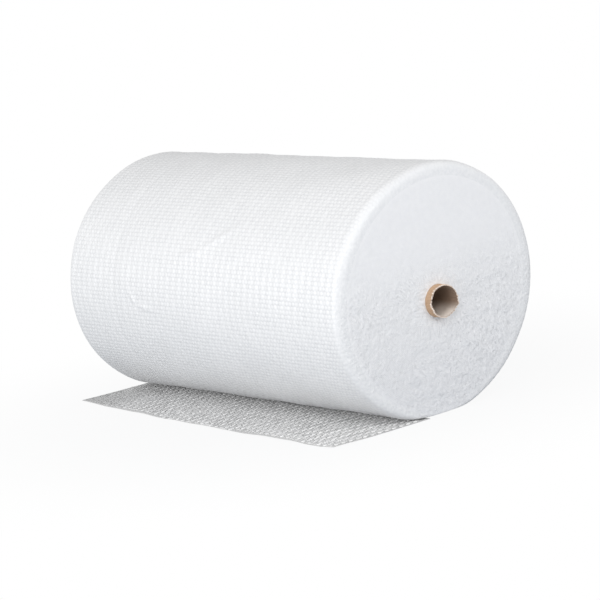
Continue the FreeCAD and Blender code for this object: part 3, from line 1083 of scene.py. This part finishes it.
@dataclass
class CardboardCore:
    """The cardboard tube, torn off raggedly at one end so that its plies show."""

    height: float
    bore: float
    outside: float
    plain_end: float
    torn_end: float
    plies: int = 4
    # how pale each ply is where it is torn, from the outside in
    pale: tuple[float, ...] = (0.6, 1.0, 0.7, 0.2)
    segments: int = 240
    tear_depth: float = 11 * MM
    fray: float = 1.6 * MM
    fray_size: float = 5 * MM
    fray_waves: int = 30
    fray_seed: int = 40
    ply_step: float = 0.4 * MM
    ply_gap: float = 0.05 * MM
    ply_crest: float = 0.1 * MM
    stations: int = 24
    # less than 1 crowds the stations at the torn end
    crowding: float = 0.6
    # painted light: the low of the bore is painted pale round this angle, in degrees from +Y towards +Z,
    # as light falling into it
    bore_light: float = 0.9
    bore_light_angle: float = 258
    bore_light_from: float = -0.05
    bore_light_full: float = 0.9
    # shares of the tear's depth at even steps round the tube, so that its edge is ragged and slants
    tear: tuple[float, ...] = (0.3, 0.35, 0.3, 0.55, 0.65, 0.9, 0.8, 1.0, 0.85, 0.95, 0.65, 0.7, 0.6, 0.45)
    # small tips left standing and nicks, each with its angle, half width and share of the depth
    tips: tuple[tuple[float, float, float], ...] = (
        (340, 9, 0.45), (262, 4, 0.35), (100, 5, 0.12), (70, 5, -0.15), (205, 6, 0.15), (320, 6, -0.1),
    )

    def torn_line(self, turn: Array, ply: int) -> Array:
        """Where one ply ends at each angle, the outer plies a little shorter.

        Args:
            turn: angles from +Y towards +Z.
            ply: number of the ply, from 0 outside.

        Returns:
            X of the ply's edge.
        """
        step = turn / (2 * math.pi) * len(self.tear)
        depth = np.interp(step % len(self.tear), range(len(self.tear) + 1), (*self.tear, self.tear[0]))
        for angle, width, share in self.tips:
            gap = (np.degrees(turn) - angle + 180) % 360 - 180
            depth = depth - share * np.exp(-((gap / width) ** 2))
        circle = np.stack([np.cos(turn), np.sin(turn)], axis=-1) * self.outside
        ragged = noise(circle, self.fray_size, self.fray_seed + ply, self.fray_waves) * self.fray
        back = (self.plies - 1 - ply) * self.ply_step
        edge = self.torn_end - self.tear_depth * depth.clip(0.0, 1.0) - back + ragged
        return np.minimum(edge, self.torn_end)

    def build(self, board: Material) -> list[Object]:
        """Makes the tube as one closed skin: outside, the steps of the torn plies, and the bore.

        Args:
            board: its material.

        Returns:
            The tube, in a list.
        """
        turn = np.linspace(0.0, 2 * math.pi, self.segments + 1)
        lengths = np.linspace(0.0, 1.0, self.stations) ** self.crowding
        outer = self.torn_line(turn, 0) - self.plain_end
        stations = [(self.plain_end + outer * share, self.outside, 0.0, 0.0) for share in lengths]
        radii = np.linspace(self.outside, self.bore, self.plies + 1)
        for ply, pale in zip(range(self.plies), self.pale):
            edge = self.torn_line(turn, ply)
            within = float(ply > self.plies / 2)
            crest = (radii[ply] + radii[ply + 1]) / 2
            stations.append((edge, radii[ply] - self.ply_gap, pale, within))
            stations.append((edge + self.ply_crest, crest, pale, within))
            stations.append((edge, radii[ply + 1] + self.ply_gap, pale, within))
        inner = self.torn_line(turn, self.plies - 1) - self.plain_end
        # painted light: the low of the bore is painted pale, as if lit
        toward = np.cos(turn - math.radians(self.bore_light_angle))
        painted_bore_light = self.bore_light * smooth_step(self.bore_light_from, self.bore_light_full, toward)
        for share in reversed(lengths):
            stations.append((self.plain_end + inner * share, self.bore, painted_bore_light, 1.0))
        stations.append(stations[0])
        grid = np.array([
            np.stack([x, radius * np.cos(turn), self.height + radius * np.sin(turn)], axis=-1)
            for x, radius, _, _ in stations
        ])
        torn = np.array([np.zeros_like(turn) + mark for _, _, mark, _ in stations])
        bore = np.array([np.full_like(turn, mark) for _, _, _, mark in stations])
        piece = grid_mesh("cardboard_tube", grid, np.array([0.0, 1.0, 0.0]), {"torn": torn, "bore": bore})
        merge_close(piece, MERGE_GAP / 2)
        piece.data.materials.append(board)
        fit_piece(piece, CORE_NODE)
        return [piece]


@dataclass(frozen=True)
class Lamp:
    """A soft rectangular studio lamp that looks at one point."""

    name: str
    place: tuple[float, float, float]
    aim: tuple[float, float, float]
    size: tuple[float, float]
    power: float

    def build(self) -> None:
        """Puts the lamp in the scene."""
        light = bpy.data.lights.new(self.name, "AREA")
        light.shape = "RECTANGLE"
        light.size, light.size_y = self.size
        light.energy = self.power
        lamp = new_object(self.name, light)
        lamp.location = self.place
        way = Vector(self.aim) - Vector(self.place)
        lamp.rotation_euler = way.to_track_quat("-Z", "Y").to_euler()


@dataclass
class Studio:
    """The pale floor, the white surroundings, the lamps and the camera."""

    floor_size: float = 16.0
    world_strength: float = 0.66
    floor_glow: float = 0.92
    shadow_near: float = 0.3
    shadow_far: float = 1.1
    floor_colour: str = "B8BCC1"
    camera_place: tuple[float, float, float] = (5.0615, -3.7712, 1.3827)
    camera_heading: float = -53.220
    camera_pitch: float = 10.508
    camera_roll: float = -8.070
    camera_lens: float = 170.78
    camera_sensor: float = 36.0
    lamps: tuple[Lamp, ...] = (
        Lamp("front_softbox", (0.6, -3.0, 0.5), (0.1, 0.0, 0.25), (2.6, 0.8), 24.8),
        Lamp("highlight_softbox", (-1.1, -2.6, 1.05), (0.3, -0.25, 0.35), (1.3, 0.9), 11.5),
        Lamp("corner_softbox", (2.7, -1.9, 2.2), (0.5, 0.0, 0.28), (1.2, 1.0), 21.5),
        Lamp("end_softbox", (3.4, 0.3, 1.2), (0.5, 0.0, 0.28), (1.4, 1.2), 22.5),
    )

    def seen(self, add: Adder) -> Node:
        """Adds what is 1 for a ray that the eye sees, straight or through something clear."""
        rays = add("ShaderNodeLightPath").outputs
        return add(MAXIMUM, (rays["Is Camera Ray"], rays["Is Transmission Ray"]))

    def floor(self) -> None:
        """Makes the floor, which is white to the eye and keeps the roll's soft shadow."""
        half = self.floor_size / 2
        corners = [(-half, -half, 0.0), (half, -half, 0.0), (half, half, 0.0), (-half, half, 0.0)]
        floor = new_mesh("floor", corners, [(0, 1, 2, 3)])
        made = bpy.data.materials.new("studio_floor")
        made.use_nodes = True
        made.node_tree.nodes.clear()
        add = partial(add_node, made.node_tree)
        matt = add("ShaderNodeBsdfDiffuse", {"Color": self.floor_colour})
        glow = add("ShaderNodeEmission")
        place = add("ShaderNodeTexCoord").outputs["Object"]
        away = add(LENGTH, (place,))
        limits = {"Value": away, 1: self.shadow_near, 2: self.shadow_far, 3: self.floor_glow, 4: 1.0}
        glowing = add(MAP_RANGE, limits, interpolation_type="SMOOTHSTEP")
        share = add(MULTIPLY, (self.seen(add), glowing))
        mixed = add("ShaderNodeMixShader", (share, matt, glow))
        add("ShaderNodeOutputMaterial", {"Surface": mixed})
        floor.data.materials.append(made)

    def world(self) -> None:
        """Makes the surroundings: white to the eye, and a plain level of light on the roll."""
        world = bpy.data.worlds.new("studio")
        bpy.context.scene.world = world
        world.use_nodes = True
        world.node_tree.nodes.clear()
        add = partial(add_node, world.node_tree)
        light, white = (
            add("ShaderNodeBackground", {"Color": "FFFFFF", "Strength": strength})
            for strength in (self.world_strength, 1.0)
        )
        mixed = add("ShaderNodeMixShader", (self.seen(add), light, white))
        add("ShaderNodeOutputWorld", {"Surface": mixed})

    def camera(self) -> None:
        """Makes the camera at the photograph's viewing angle."""
        heading, pitch, roll = (
            math.radians(angle) for angle in (self.camera_heading, self.camera_pitch, self.camera_roll)
        )
        flat = math.cos(pitch)
        ahead = Vector((math.sin(heading) * flat, math.cos(heading) * flat, -math.sin(pitch)))
        level = Vector((math.cos(heading), -math.sin(heading), 0.0))
        upright = level.cross(ahead)
        right = level * math.cos(roll) + upright * math.sin(roll)
        up = upright * math.cos(roll) - level * math.sin(roll)
        data = bpy.data.cameras.new("camera")
        data.sensor_width = self.camera_sensor
        data.lens = self.camera_lens
        camera = new_object("camera", data)
        turned = Matrix((right, up, -ahead)).transposed().to_4x4()
        camera.matrix_world = Matrix.Translation(self.camera_place) @ turned
        bpy.context.scene.camera = camera

    def build(self) -> None:
        """Sets the whole stage."""
        self.floor()
        self.world()
        for lamp in self.lamps:
            lamp.build()
        self.camera()
        bpy.context.scene.view_settings.view_transform = "Standard"


def main() -> None:
    """Builds the roll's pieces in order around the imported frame."""
    logging.basicConfig(level=logging.INFO, format="%(name)s %(message)s")
    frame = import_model()
    film_low, film_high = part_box(FILM_NODE)
    core_low, core_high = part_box(CORE_NODE)
    bore = next(mount for mount in frame["record"]["mounts"] if mount["kind"] == "bore")
    core_height = bore["pos_m"][2]
    core_outside = core_high.z - core_height
    form = RollForm(
        radius=film_high.y, web_end=film_high.x,
        core_height=core_height, core_radius=core_outside + CORE_CLEARANCE,
    )
    lattice = BubbleLattice()
    wound = WoundFilm(form, lattice)
    skin = WoundFilmFinish(lattice, wound.row_pitch()).material()
    edges = CutEdgeFinish().material()
    # painted shade: the single sheet is painted grey for the shade that shows through it, and flatter
    # bubbles darker
    loose = LooseFilmFinish("loose_polyethylene_film", light="C4C4C4", dark="C4C4C4", roughness=0.25)
    domes = LooseFilmFinish("loose_polyethylene_bubbles", light="F4F4F4", dark="B8B8B8", roughness=0.1)
    board = KraftFinish().material()
    wound.build(skin, edges)
    tail = LooseEnd(form, lattice, reach=-film_low.y - LooseEnd.skew / 2)
    tail.build(loose.material(), domes.material())
    core = CardboardCore(
        height=core_height, bore=bore["dims"]["r_mm"] * MM, outside=core_outside,
        plain_end=core_low.x, torn_end=core_high.x,
    )
    core.build(board)
    Studio().build()


if __name__ == "__main__":
    main()
